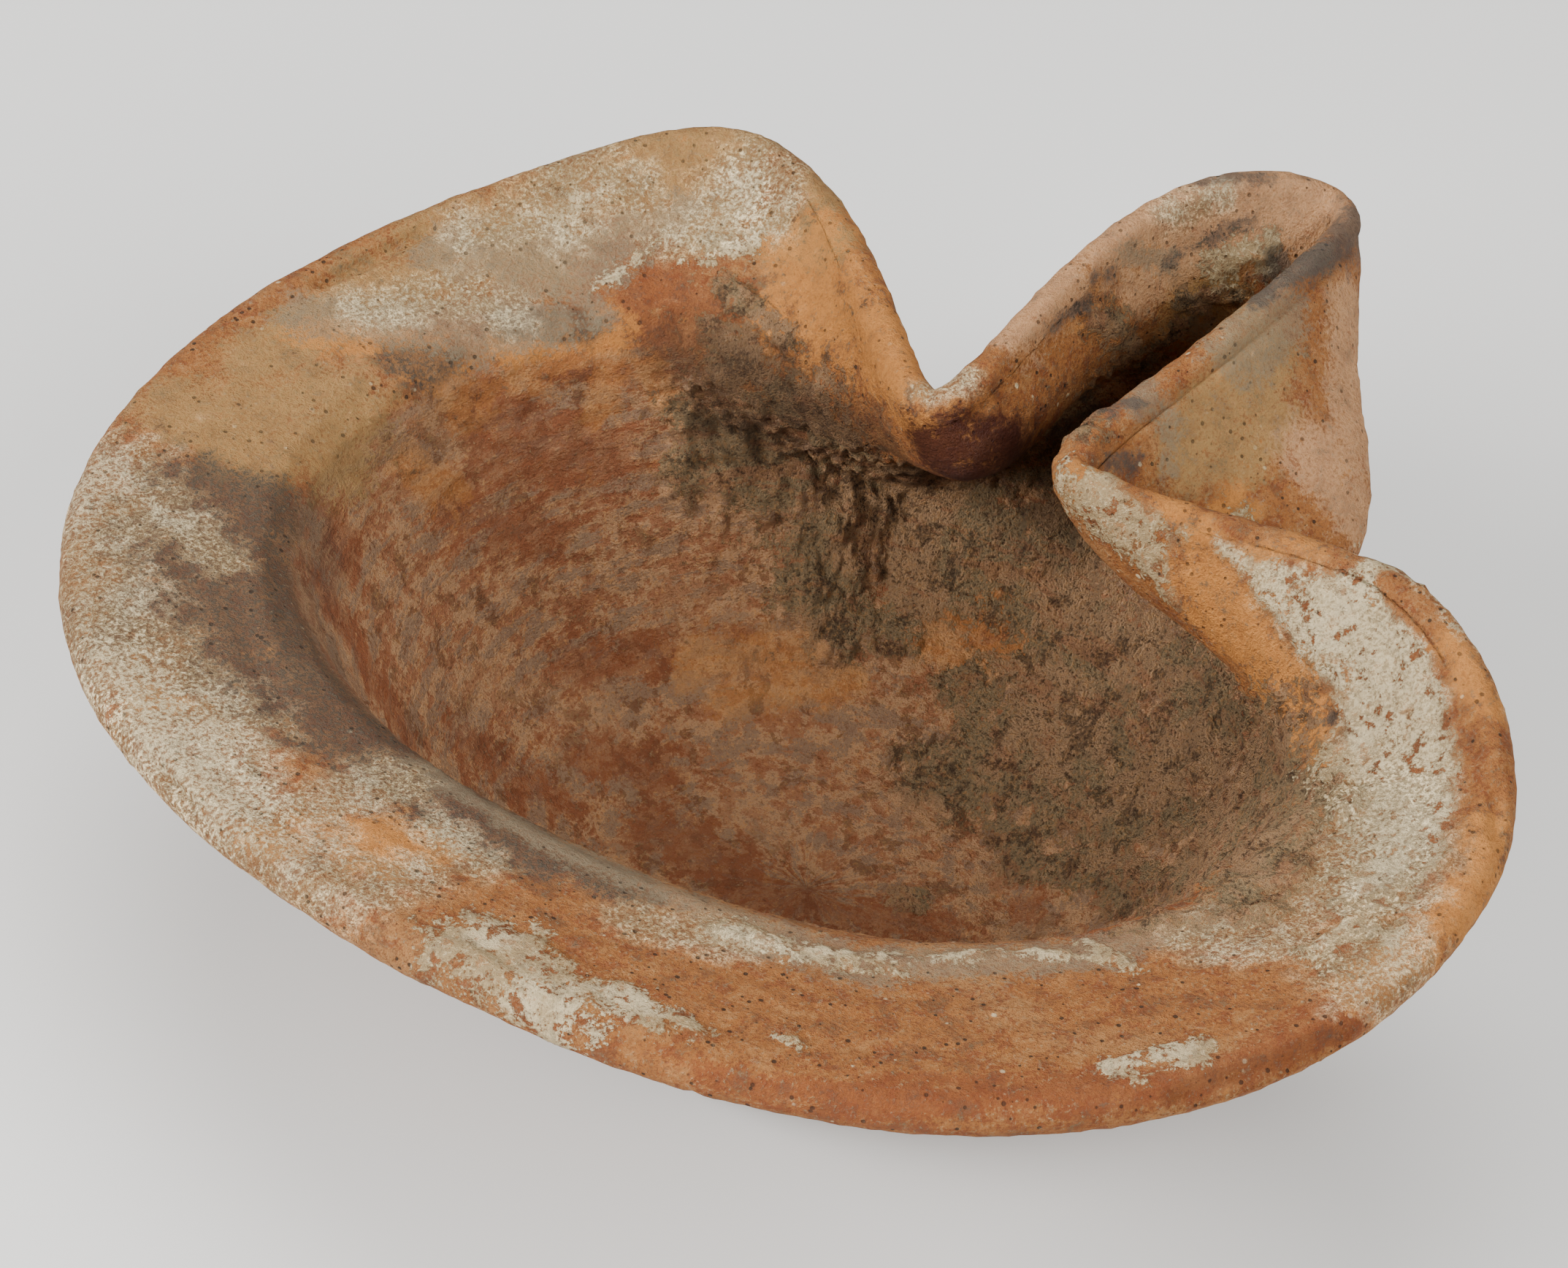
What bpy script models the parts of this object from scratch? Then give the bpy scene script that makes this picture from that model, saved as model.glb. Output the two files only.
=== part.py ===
# A pinched earthenware lamp. The saucer is thrown on the wheel with a broad turned-out
# rim. The rim is then pressed in on both sides, so that it closes round one nozzle.
# The nozzle points along +X, +Y is the lamp's left side, +Z is up, and the origin is
# the middle of the flat underside.
import math

import bpy
from mathutils import Vector

for leftover in list(bpy.data.objects):
    bpy.data.objects.remove(leftover, do_unlink=True)

# Thrown saucer. Radii and heights are those of the middle of the clay wall.
WALL = 0.0048
BASE_RADIUS = 0.0200
BELLY_RADIUS = 0.0400
BELLY_HEIGHT = 0.0215
NECK_RADIUS = 0.0458
NECK_HEIGHT = 0.0345
NECK_OFFSET = (0.0018, 0.0012)
NECK_OVAL = (-0.0004, -0.0021)
RIM_RADIUS = 0.0652
RIM_HEIGHT = 0.0445

# The bowl's side is a little fuller than a straight run from base to belly. The wall turns
# out above the neck: how far out and up from the neck the turn starts, and where it ends.
BOWL_FULLNESS = 0.0015
BOWL_SHARE = 0.43
TURN_START = (0.0025, 0.0035)
TURN_END = (0.0075, 0.0057)

# The rim is a little out of round, and it rises towards the nozzle.
RIM_OVAL = (0.0010, -0.0009)
RIM_THREE_LOBES = (0.0027, 0.0009)
RIM_TILT = (0.0061, -0.0010)
RIM_SADDLE = (0.0026, 0.0012)

# The rim is also drawn inwards and up over a wide stretch round each fold.
DRAWN_IN = (
    {"angle": 29.6, "width": 15.0, "inward": 0.0184, "up": 0.0025},
    {"angle": -49.6, "width": 17.1, "inward": 0.0097, "up": 0.0028},
)

# Each fold is the place where a finger pressed the rim in. The angle is that of the clay
# which ends up innermost. At each level it gives the place of that clay (forwards, left,
# up), then how far the fold spreads towards the nozzle and towards the back in degrees.
FOLDS = (
    {
        "angle": 32.7,
        "belly": ((0.0330, 0.0240, 0.0200), (10.0, 9.0)),
        "neck": ((0.0290, 0.0200, 0.0305), (10.0, 24.0)),
        "bend": ((0.0205, 0.0074, 0.0408), (14.0, 18.0)),
        "rim": ((0.0190, 0.0092, 0.0467), (15.3, 12.8)),
        "sharpness": 1.85,
    },
    {
        "angle": -32.8,
        "belly": ((0.0345, -0.0228, 0.0207), (8.0, 16.0)),
        "neck": ((0.0335, -0.0190, 0.0310), (7.5, 24.0)),
        "bend": ((0.0261, -0.0098, 0.0390), (16.0, 19.0)),
        "rim": ((0.0232, -0.0047, 0.0462), (23.4, 11.7)),
        "sharpness": 1.7,
    },
)

# The nozzle is drawn out by this much at the neck and at the rim, over so many degrees.
NOZZLE_DRAW = {"neck": (0.0075, -0.0030, 0.0000), "rim": (0.0075, -0.0010, -0.0034)}
NOZZLE_WIDTHS = {"neck": 34.3, "rim": 8.9}
NOZZLE_SHARPNESS = 1.9

# The share of the wall that is left at the very edge of the rounded rim, and at the
# nozzle, where the potter's fingers thinned it.
RIM_EDGE = 0.35
NOZZLE_WALL = 0.75
COLUMNS = 128
PROFILE_STEPS = 2

CLAY_COLOUR = (0.52, 0.27, 0.13, 1.0)
CLAY_ROUGHNESS = 0.92

# Levels run from 0 at the middle of the base to 1 at the rim.
def level_at(radius, height):
    return 0.5 * (radius / RIM_RADIUS + height / RIM_HEIGHT)


BASE_LEVEL = level_at(BASE_RADIUS, WALL / 2)
BELLY_LEVEL = level_at(BELLY_RADIUS, BELLY_HEIGHT)
NECK_LEVEL = level_at(NECK_RADIUS, NECK_HEIGHT)
BEND_LEVEL = 0.5 * (NECK_LEVEL + 1.0)


# A smooth run of places through the given stops of (level, place).
def along(stops, level):
    if level <= stops[0][0]:
        return stops[0][1].copy()
    for i in range(len(stops) - 1):
        low, start = stops[i]
        high, end = stops[i + 1]
        if level <= high or i == len(stops) - 2:
            break
    span = high - low
    t = min(1.0, (level - low) / span)
    slope_start = (end - stops[max(i - 1, 0)][1]) / (high - stops[max(i - 1, 0)][0])
    last = stops[min(i + 2, len(stops) - 1)]
    slope_end = (last[1] - start) / (last[0] - low)
    if i == 0:
        slope_start = 0.0 * start
    return (
        start * (2 * t**3 - 3 * t**2 + 1)
        + slope_start * span * (t**3 - 2 * t**2 + t)
        + end * (3 * t**2 - 2 * t**3)
        + slope_end * span * (t**3 - t**2)
    )


def ramp(low, high, value):
    t = min(1.0, max(0.0, (value - low) / (high - low)))
    return t * t * (3 - 2 * t)


def bump(degrees, width, sharpness=2.0):
    return math.exp(-((abs(degrees) / width) ** sharpness))


# Where clay thrown at this angle, radius and height lies before the rim is pressed in.
def thrown(degrees, radius, height):
    a = math.radians(degrees)
    share = ramp(BASE_LEVEL, 1.0, level_at(radius, height))
    flange = max(0.0, (radius - NECK_RADIUS) / (RIM_RADIUS - NECK_RADIUS)) ** 1.25
    out = RIM_OVAL[0] * math.cos(2 * a) + RIM_OVAL[1] * math.sin(2 * a)
    out += RIM_THREE_LOBES[0] * math.cos(3 * a) + RIM_THREE_LOBES[1] * math.sin(3 * a)
    up = RIM_TILT[0] * math.cos(a) + RIM_TILT[1] * math.sin(a)
    up += RIM_SADDLE[0] * math.cos(2 * a) + RIM_SADDLE[1] * math.sin(2 * a)
    level = level_at(radius, height)
    neck = ramp(BELLY_LEVEL, NECK_LEVEL, level) * (1 - flange)
    out = share * out
    out += neck * (NECK_OVAL[0] * math.cos(2 * a) + NECK_OVAL[1] * math.sin(2 * a))
    r = radius + out
    z = height + flange * up
    for stretch in DRAWN_IN:
        pull = flange * bump(degrees - stretch["angle"], stretch["width"])
        r -= pull * stretch["inward"]
        z += pull * stretch["up"]
    x = r * math.cos(a) + neck * NECK_OFFSET[0]
    y = r * math.sin(a) + neck * NECK_OFFSET[1]
    return Vector((x, y, z))


FOLD_LEVELS = (
    ("belly", BELLY_LEVEL, BELLY_RADIUS, BELLY_HEIGHT),
    ("neck", NECK_LEVEL, NECK_RADIUS, NECK_HEIGHT),
    ("bend", BEND_LEVEL, 0.5 * (NECK_RADIUS + RIM_RADIUS), 0.5 * (NECK_HEIGHT + RIM_HEIGHT)),
    ("rim", 1.0, RIM_RADIUS, RIM_HEIGHT),
)


# How far each fold pushes the clay at each level, and how wide it is there.
PUSHES = []
for fold in FOLDS:
    pushes = [(BASE_LEVEL, Vector((0.0, 0.0, 0.0)))]
    widths = [(BASE_LEVEL, Vector(fold["belly"][1]))]
    for name, level, radius, height in FOLD_LEVELS:
        start = thrown(fold["angle"], radius, height)
        pushes.append((level, Vector(fold[name][0]) - start))
        widths.append((level, Vector(fold[name][1])))
    PUSHES.append((fold, pushes, widths))


# Where the same clay lies in the finished lamp.
def pressed(degrees, radius, height):
    if radius > RIM_RADIUS:
        rim = pressed(degrees, RIM_RADIUS, RIM_HEIGHT)
        inside = pressed(degrees, RIM_RADIUS - WALL / 2, RIM_HEIGHT - WALL / 6)
        return rim + (radius - RIM_RADIUS) * (rim - inside).normalized()
    level = level_at(radius, height)
    place = thrown(degrees, radius, height)
    spread = ramp(NECK_LEVEL, 1.0, level)
    for fold, pushes, widths in PUSHES:
        away = degrees - fold["angle"]
        side = 1 if away * fold["angle"] > 0 else 0
        grip = bump(away, along(widths, level)[side], fold["sharpness"])
        place += grip * along(pushes, level)
    for name, share in (("neck", ramp(BASE_LEVEL, NECK_LEVEL, level) - spread), ("rim", spread)):
        draw = share * bump(degrees, NOZZLE_WIDTHS[name], NOZZLE_SHARPNESS)
        place += draw * Vector(NOZZLE_DRAW[name])
    return place


# Angles on the wheel that end up evenly spaced along the finished rim.
def column_angles(columns):
    fine = [-180 + 0.5 * i for i in range(721)]
    run = [0.0]
    last = pressed(fine[0], RIM_RADIUS, RIM_HEIGHT)
    for degrees in fine[1:]:
        here = pressed(degrees, RIM_RADIUS, RIM_HEIGHT)
        run.append(run[-1] + (here - last).length)
        last = here
    angles = []
    k = 0
    for column in range(columns):
        wanted = run[-1] * column / columns
        while run[k + 1] < wanted:
            k += 1
        part = (wanted - run[k]) / (run[k + 1] - run[k])
        angles.append(fine[k] + part * (fine[k + 1] - fine[k]))
    return angles


collection = bpy.data.collections.new("Pinched lamp")
bpy.context.scene.collection.children.link(collection)

# The thrown profile, from the middle of the base out to the rim.
profile = bpy.data.curves.new("Lamp profile", "CURVE")
profile.dimensions = "3D"
profile.resolution_u = PROFILE_STEPS
line = profile.splines.new("BEZIER")
stations = (
    (0.0, WALL / 2),
    (BASE_RADIUS, WALL / 2),
    (0.5 * (BASE_RADIUS + BELLY_RADIUS) + BOWL_FULLNESS, BOWL_SHARE * BELLY_HEIGHT),
    (BELLY_RADIUS, BELLY_HEIGHT),
    (NECK_RADIUS, NECK_HEIGHT),
    (NECK_RADIUS + TURN_START[0], NECK_HEIGHT + TURN_START[1]),
    (NECK_RADIUS + TURN_END[0], NECK_HEIGHT + TURN_END[1]),
    (RIM_RADIUS, RIM_HEIGHT),
    (RIM_RADIUS + WALL / 2, RIM_HEIGHT + WALL / 6),
)
line.bezier_points.add(len(stations) - 1)
for point, (radius, height) in zip(line.bezier_points, stations):
    point.co = (radius, 0.0, height)
    bend = "VECTOR" if height < WALL else "AUTO"
    point.handle_left_type = bend
    point.handle_right_type = bend

thrower = bpy.data.objects.new("Lamp profile", profile)
collection.objects.link(thrower)
wheel = thrower.modifiers.new("Wheel", "SCREW")
wheel.axis = "Z"
wheel.steps = COLUMNS
wheel.render_steps = COLUMNS
wheel.use_merge_vertices = True
wheel.merge_threshold = 0.00002
wheel.use_normal_calculate = True

bpy.context.view_layer.update()
spun = thrower.evaluated_get(bpy.context.evaluated_depsgraph_get())
clay = bpy.data.meshes.new_from_object(spun)
clay.name = "lamp_body"
bpy.data.objects.remove(thrower, do_unlink=True)

# Press the thrown saucer into shape.
angles = column_angles(COLUMNS)
shares = []
for vertex in clay.vertices:
    x, y, z = vertex.co
    radius = math.hypot(x, y)
    turn = math.degrees(math.atan2(y, x)) % 360 if radius > 1e-6 else 0.0
    column = round(turn / 360 * COLUMNS) % COLUMNS
    beyond = max(0.0, (radius - RIM_RADIUS) / (WALL / 2))
    thinning = ramp(BELLY_RADIUS, NECK_RADIUS, radius) * bump(angles[column], NOZZLE_WIDTHS["neck"])
    share = max(RIM_EDGE, math.sqrt(max(0.0, 1 - beyond**2)))
    shares.append(share * (1 - (1 - NOZZLE_WALL) * thinning))
    vertex.co = pressed(angles[column], radius, z)

lamp = bpy.data.objects.new("lamp_body", clay)
collection.objects.link(lamp)

thickness = lamp.vertex_groups.new(name="Wall thickness")
for i, share in enumerate(shares):
    thickness.add([i], share, "REPLACE")

skin = lamp.modifiers.new("Wall", "SOLIDIFY")
skin.vertex_group = thickness.name
skin.thickness = WALL
skin.offset = 0.0
skin.use_even_offset = True
skin.use_quality_normals = True

earthenware = bpy.data.materials.new("fired_clay")
earthenware.use_nodes = True
shader = earthenware.node_tree.nodes["Principled BSDF"]
shader.inputs["Base Color"].default_value = CLAY_COLOUR
shader.inputs["Roughness"].default_value = CLAY_ROUGHNESS
shader.inputs["Metallic"].default_value = 0.0
clay.materials.append(earthenware)
clay.shade_smooth()
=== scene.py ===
import math

import bpy
import numpy as np
from mathutils import Matrix, Vector


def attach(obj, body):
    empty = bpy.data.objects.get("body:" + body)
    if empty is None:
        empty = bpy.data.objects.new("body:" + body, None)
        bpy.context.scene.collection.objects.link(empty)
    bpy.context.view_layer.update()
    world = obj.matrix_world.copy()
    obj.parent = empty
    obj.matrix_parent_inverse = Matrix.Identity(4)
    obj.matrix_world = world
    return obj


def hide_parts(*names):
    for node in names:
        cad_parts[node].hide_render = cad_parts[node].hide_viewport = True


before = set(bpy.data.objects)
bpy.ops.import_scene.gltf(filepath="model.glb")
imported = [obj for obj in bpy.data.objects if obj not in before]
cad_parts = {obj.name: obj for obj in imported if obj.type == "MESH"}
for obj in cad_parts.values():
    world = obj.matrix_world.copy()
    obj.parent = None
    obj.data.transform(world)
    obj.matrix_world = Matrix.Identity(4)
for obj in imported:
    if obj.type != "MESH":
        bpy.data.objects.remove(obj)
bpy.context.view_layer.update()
print("frame loaded")

# The lamp's form. These are the sizes of the solid, in metres and degrees.
lamp = {
    "wall": 0.0048,
    "base": (0.0200, 0.0024),
    "bowlOut": 0.0015,  # how far the bowl swells between base and belly
    "bowlShare": 0.43,  # its height there, as a share of the belly's
    "belly": (0.0400, 0.0215),
    "neck": (0.0458, 0.0345),
    "neckOffset": (0.0018, 0.0012),
    "neckOval": (-0.0004, -0.0021),
    "turnStart": (0.0025, 0.0035),  # from the neck outwards and up
    "turnEnd": (0.0075, 0.0057),
    "rim": (0.0652, 0.0445),
    "flangePower": 1.25,
    "rimOval": (0.0010, -0.0009),
    "rimThreeLobes": (0.0027, 0.0009),
    "rimTilt": (0.0061, -0.0010),
    "rimSaddle": (0.0026, 0.0012),
    # angle, width, inward, up
    "drawnIn": ((29.6, 15.0, 0.0184, 0.0025), (-49.6, 17.1, 0.0097, 0.0028)),
    "leftFold": {
        "angle": 32.7,
        "sharpness": 1.85,
        "belly": ((0.0330, 0.0240, 0.0200), (10.0, 9.0)),
        "neck": ((0.0290, 0.0200, 0.0305), (10.0, 24.0)),
        "bend": ((0.0205, 0.0074, 0.0408), (14.0, 18.0)),
        "rim": ((0.0190, 0.0092, 0.0467), (15.3, 12.8)),
    },
    "rightFold": {
        "angle": -32.8,
        "sharpness": 1.7,
        "belly": ((0.0345, -0.0228, 0.0207), (8.0, 16.0)),
        "neck": ((0.0335, -0.0190, 0.0310), (7.5, 24.0)),
        "bend": ((0.0261, -0.0098, 0.0390), (16.0, 19.0)),
        "rim": ((0.0232, -0.0047, 0.0462), (23.4, 11.7)),
    },
    "nozzleNeckDraw": ((0.0075, -0.0030, 0.0), 34.3),
    "nozzleRimDraw": ((0.0075, -0.0010, -0.0034), 8.9),
    "nozzleSharpness": 1.9,
    "nozzleWall": 0.75,
    "columns": 560,
    "insideStep": 0.00078,  # spacing of the rows on the inside
    "insideCrowding": 1.2,  # how much closer the rows lie from the neck outwards
    "outsideStep": 0.0014,
    "lipRows": 9,
    "skipped": ((0.006, 8), (0.012, 4), (0.022, 2)),  # nearer the axis: one column in so many
    "pointed": 0.0003,  # nearer still, a row is one point
    "filmFade": (-0.001, 0.004),  # where the film thins out, from the neck outwards
    "inset": 0.00025,  # the bare clay lies this far inside the solid's skin
}

# Where each finish lies: first place, last place and half width, in millimetres.
patches = {
    "lime": (
        (-41, 55, 40, -51, 46, 41, 4.2), (-52, 45, 41, -58, 34, 41, 4.6),
        (-57, 33, 41, -58, 20, 42, 4.7), (-62, 24, 42, -63, 11, 43, 4.2),
        (-65, 10, 42, -63, 1, 43, 3.7), (-58, 8, 42, -49, 7, 41, 2.3),
        (-40, 47, 41, -41, 39, 41, 1.9), (-48, 50, 41, -42, 48, 41, 3.1),
        (21, 58, 47, 15, 55, 44, 3.2), (12, 56, 44, 7, 58, 44, 2.1),
        (-7, 57, 42, 2, 53, 42, 2.0), (-2, 56, 42, 4, 49, 41, 1.8),
        (26, 44, 45, 32, 45, 49, 2.6), (33, 42, 49, 29, 39, 46, 1.7),
        (20, 46, 44, 25, 43, 44, 1.4), (22, 52, 46, 20, 55, 46, 2.3),
        (19, 10, 49, 22, 8, 50, 1.2), (44, 13, 30, 46, 12, 32, 1.7),
        (53, 11, 53, 53, 11, 53, 1.1), (53, 11, 53, 60, 10, 53, 1.2),
        (-51, 0, 42, -51, -6, 42, 1.8), (-57, -4, 43, -62, -3, 43, 2.3),
        (-46, -19, 42, -41, -26, 42, 2.0), (-5, -51, 42, 1, -54, 43, 3.1),
        (10, -48, 42, 7, -54, 43, 3.1), (-1, -64, 45, -5, -64, 45, 3.1),
        (-5, -56, 43, -10, -51, 42, 2.3), (14, -51, 43, 6, -58, 44, 3.4),
    ),
    "crust": (
        (20, -8, 47, 22, -14, 47, 3.2), (22, -15, 46, 22, -19, 43, 2.0),
        (26, -17, 50, 39, -14, 40, 1.7), (24, -20, 48, 25, -27, 48, 2.6),
        (25, -28, 47, 27, -28, 51, 3.1), (27, -28, 50, 30, -36, 52, 3.1),
        (26, -34, 48, 25, -41, 47, 5.7), (25, -40, 47, 24, -47, 47, 4.7),
        (22, -40, 43, 14, -51, 43, 5.0), (22, -49, 46, 17, -55, 46, 4.3),
        (12, -56, 44, 6, -57, 44, 4.6), (23, -53, 48, 22, -55, 48, 1.4),
        (22, -49, 46, 24, -53, 49, 1.8), (2, -59, 44, -5, -60, 44, 2.0),
        (10, -59, 45, 12, -60, 46, 1.5), (2, -63, 45, -1, -63, 45, 1.5),
        (-40, -24, 41, -38, -30, 42, 1.7), (-38, -30, 42, -32, -36, 42, 1.7),
        (-32, -36, 42, -24, -40, 40, 0.9), (-24, -40, 40, -18, -46, 41, 0.9),
        (-17, -44, 40, -17, -49, 42, 0.9), (-60, -14, 44, -60, -19, 44, 3.4),
        (-58, -15, 44, -59, -24, 44, 3.4), (-59, -13, 44, -63, -13, 44, 1.8),
        (-54, -26, 44, -55, -30, 44, 1.7), (-53, -31, 44, -53, -33, 44, 1.2),
        (-47, -38, 44, -47, -39, 44, 0.8), (-29, -58, 44, -21, -61, 44, 1.1),
        (-29, -60, 44, -23, -62, 44, 0.6), (23, 42, 44, 27, 39, 45, 1.2),
        (20, 46, 44, 17, 46, 42, 0.8), (17, 46, 42, 13, 46, 42, 0.6),
        (21, 43, 43, 23, 41, 43, 0.6), (57, 8, 47, 62, 6, 48, 1.8),
        (59, 7, 48, 57, 0, 52, 1.2), (61, 6, 47, 62, 5, 46, 1.5),
        (23, -31, 43, 23, -32, 43, 0.7), (22, -55, 48, 22, -56, 48, 0.9),
        (50, -20, 35, 50, -20, 35, 0.8), (-58, 16, 42, -59, 15, 42, 0.5),
    ),
    "band": (
        (-45, 7, 40, -43, -7, 40, 1.5), (-43, -7, 40, -38, -23, 41, 1.8),
        (-39, -24, 41, -34, -35, 42, 2.3), (-33, -35, 41, -17, -46, 41, 2.0),
        (-16, -45, 41, -4, -50, 42, 2.0), (-12, 60, 42, -5, 53, 41, 2.0),
        (-5, 53, 41, 4, 49, 41, 2.1), (-2, 49, 40, 7, 46, 40, 1.7),
        (7, 50, 42, 15, 47, 42, 1.5), (4, 57, 43, 12, 51, 43, 2.3),
        (11, 44, 40, 11, 46, 41, 1.1), (7, 52, 42, 18, 48, 44, 2.0),
        (24, 47, 45, 19, 49, 44, 1.5), (52, 9, 49, 46, 10, 52, 0.8),
        (53, -4, 50, 46, -5, 50, 2.6), (52, -1, 52, 62, 0, 52, 1.5),
        (55, 7, 41, 33, -4, 49, 1.2), (36, -5, 48, 34, -8, 44, 0.8),
    ),
    "stain": (
        (-37, 49, 41, -31, 40, 39, 2.6), (-42, 42, 41, -39, 31, 39, 5.3),
        (-45, 31, 41, -41, 27, 39, 3.5), (-53, 36, 41, -44, 36, 41, 3.1),
        (-50, 26, 41, -47, 15, 41, 3.5), (-47, 15, 41, -46, 2, 41, 3.5),
        (-47, 4, 41, -45, -7, 41, 2.8), (-33, 42, 40, -29, 38, 35, 2.3),
        (-44, -6, 41, -43, -15, 41, 1.8), (-42, 26, 40, -45, 13, 40, 2.8),
        (3, 48, 41, 9, 44, 40, 1.2), (-8, 50, 40, -6, 48, 40, 1.5),
    ),
    "soil": (
        (22, 38, 42, 22, 30, 41, 1.2), (18, 34, 37, 19, 27, 35, 3.0),
        (20, 28, 35, 21, 18, 33, 3.2), (19, 33, 28, 22, 29, 24, 4.6),
        (23, 22, 33, 35, 19, 21, 4.6), (29, 24, 20, 34, 16, 17, 4.9),
        (35, 19, 20, 40, 7, 20, 4.3), (38, 16, 22, 42, 13, 26, 2.3),
        (24, 25, 17, 24, 20, 12, 3.4), (22, 24, 15, 27, 16, 11, 2.6),
        (34, 16, 17, 29, 17, 13, 2.3), (40, 8, 20, 39, 3, 17, 4.6),
        (36, 7, 15, 37, -2, 15, 3.1), (38, 0, 16, 38, -11, 18, 4.1),
        (38, -11, 18, 21, -35, 35, 3.8), (32, 1, 11, 32, -7, 12, 4.0),
        (28, 7, 10, 28, -1, 9, 2.6), (26, 2, 8, 21, 2, 6, 3.1),
        (21, 2, 6, 24, -5, 7, 3.8), (26, -3, 8, 32, -15, 14, 4.6),
        (34, -14, 15, 20, -37, 34, 4.6), (20, -37, 34, 12, -45, 40, 3.4),
        (24, -10, 8, 27, -20, 13, 3.8), (28, -19, 13, 13, -40, 35, 4.1),
        (8, -44, 38, -1, -48, 41, 3.4), (20, -27, 16, -2, -49, 41, 3.4),
        (20, -16, 8, 19, -24, 12, 2.8), (20, -7, 6, 18, -11, 6, 2.0),
        (-11, -45, 40, -7, -48, 41, 1.7), (6, -7, 5, 7, -8, 5, 1.2),
        (15, 34, 26, 22, 29, 22, 2.8), (15, 36, 32, 18, 34, 28, 1.8),
        (40, 8, 49, 51, 10, 37, 1.5), (51, 10, 37, 27, -2, 48, 1.7),
        (50, 8, 40, 55, 7, 43, 1.1), (53, 8, 45, 59, 5, 44, 0.9),
    ),
    "red": (
        (-1, 42, 32, 7, 38, 28, 3.5), (-10, 41, 29, 0, 37, 23, 2.3),
        (17, 46, 42, 20, 40, 42, 2.6), (14, 42, 40, 17, 36, 39, 2.6),
        (16, 43, 41, 20, 36, 41, 2.3), (-3, 45, 35, 4, 41, 32, 2.3),
        (-6, 24, 8, 0, 20, 5, 2.3), (-19, 28, 15, -12, 22, 8, 2.3),
        (-5, 15, 5, -4, 4, 5, 3.1), (-6, 4, 5, 6, -12, 5, 2.0),
        (-2, 31, 13, 7, 28, 11, 2.0), (-28, 26, 21, -46, 1, 41, 1.5),
        (12, 27, 12, 17, 24, 11, 0.9), (22, 26, 17, 28, 22, 18, 1.1),
        (5, 44, 37, 11, 40, 35, 1.1), (31, 19, 15, 34, 3, 13, 1.8),
        (14, -15, 5, -15, -44, 40, 1.5), (-26, 42, 38, -25, 39, 32, 2.0),
        (-32, 36, 35, -28, 26, 21, 2.0), (-59, -35, 44, -44, -51, 44, 1.8),
        (-44, -51, 44, -26, -62, 43, 1.5), (-26, -63, 43, -8, -67, 44, 1.5),
        (13, -47, 41, -14, -44, 40, 1.0),
    ),
    "bright": (
        (-14, 58, 41, -7, 51, 41, 1.5), (-6, 48, 40, -5, 45, 36, 2.0),
        (2, 45, 38, 11, 42, 38, 2.0), (8, 40, 33, 10, 42, 38, 1.4),
        (13, 39, 36, 15, 36, 32, 1.2), (-13, 44, 34, -9, 42, 30, 1.5),
        (-55, 2, 42, -53, -2, 42, 2.0), (-64, 8, 43, -62, 5, 43, 1.4),
        (-59, 28, 42, -58, 26, 42, 1.1), (-59, 5, 43, -58, -1, 43, 1.7),
        (32, 12, 14, 36, 8, 16, 3.1), (33, 6, 13, 34, 2, 13, 1.5),
        (30, 12, 11, 30, 7, 11, 2.0), (10, 26, 10, 19, 20, 10, 1.8),
        (11, 22, 7, 21, 16, 8, 1.5), (23, -23, 44, 23, -26, 42, 3.1),
        (23, -27, 41, 22, -35, 40, 2.6), (22, -22, 41, 22, -31, 40, 1.8),
        (22, -35, 40, 18, -41, 40, 1.2), (38, -13, 40, 29, -28, 50, 1.5),
        (26, -26, 49, 24, -24, 48, 1.1), (28, 34, 46, 24, 27, 45, 3.1),
        (24, 25, 46, 20, 15, 48, 3.1), (26, 34, 44, 23, 33, 42, 1.5),
        (19, 14, 48, 18, 7, 45, 1.8), (22, -9, 49, 24, -10, 49, 1.1),
        (21, -5, 47, 22, -9, 49, 1.1), (24, -15, 50, 23, -20, 48, 1.4),
        (28, -45, 51, 26, -52, 49, 1.2), (16, -60, 47, 12, -64, 46, 1.8),
        (5, -65, 46, 10, -64, 45, 1.8), (-7, -65, 45, 1, -66, 45, 1.5),
        (19, 7, 42, 21, 4, 45, 0.9), (21, -40, 42, 19, -41, 41, 0.7),
    ),
    "ochre": (
        (-20, 58, 41, -6, 59, 42, 2.4), (-6, 58, 42, 8, 58, 44, 3.2),
        (8, 56, 44, 28, 50, 48, 4.2), (-26, 53, 41, -18, 49, 40, 3.8),
        (-29, 48, 41, -21, 45, 38, 3.1), (-30, 57, 41, -28, 50, 41, 3.1),
        (4, 60, 44, 11, 52, 43, 2.8), (26, 56, 48, 32, 48, 49, 2.3),
        (24, 52, 46, 25, 45, 45, 3.1), (34, 48, 49, 34, 48, 49, 2.3),
        (34, 37, 49, 34, 37, 49, 2.3), (28, 39, 46, 29, 32, 48, 1.8),
        (55, 7, 44, 47, -6, 48, 3.1), (45, -6, 48, 36, -8, 44, 2.3),
        (48, -10, 45, 41, -11, 42, 1.5),
    ),
    "pink": (
        (58, 11, 53, 68, 5, 50, 3.4), (44, 12, 53, 54, 10, 52, 2.6),
        (30, 9, 52, 38, 10, 53, 2.1), (47, 8, 48, 55, 9, 49, 1.8),
        (63, -4, 46, 55, -14, 40, 2.3), (49, -13, 41, 51, -19, 37, 2.3),
    ),
    "bare": (
        (24.5, -12.5, 49.6, 26.4, -22.0, 50.1, 1.9), (26.4, -22.0, 50.1, 29.0, -31.0, 51.0, 2.1),
        (29.3, -37.0, 51.5, 27.0, -47.0, 50.2, 1.3), (27.0, -47.0, 50.2, 22.0, -55.0, 48.2, 2.3),
        (21.0, -57.0, 47.7, 15.0, -61.0, 46.6, 3.0), (15.0, -61.0, 46.6, 1.0, -65.8, 45.1, 2.2),
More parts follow.
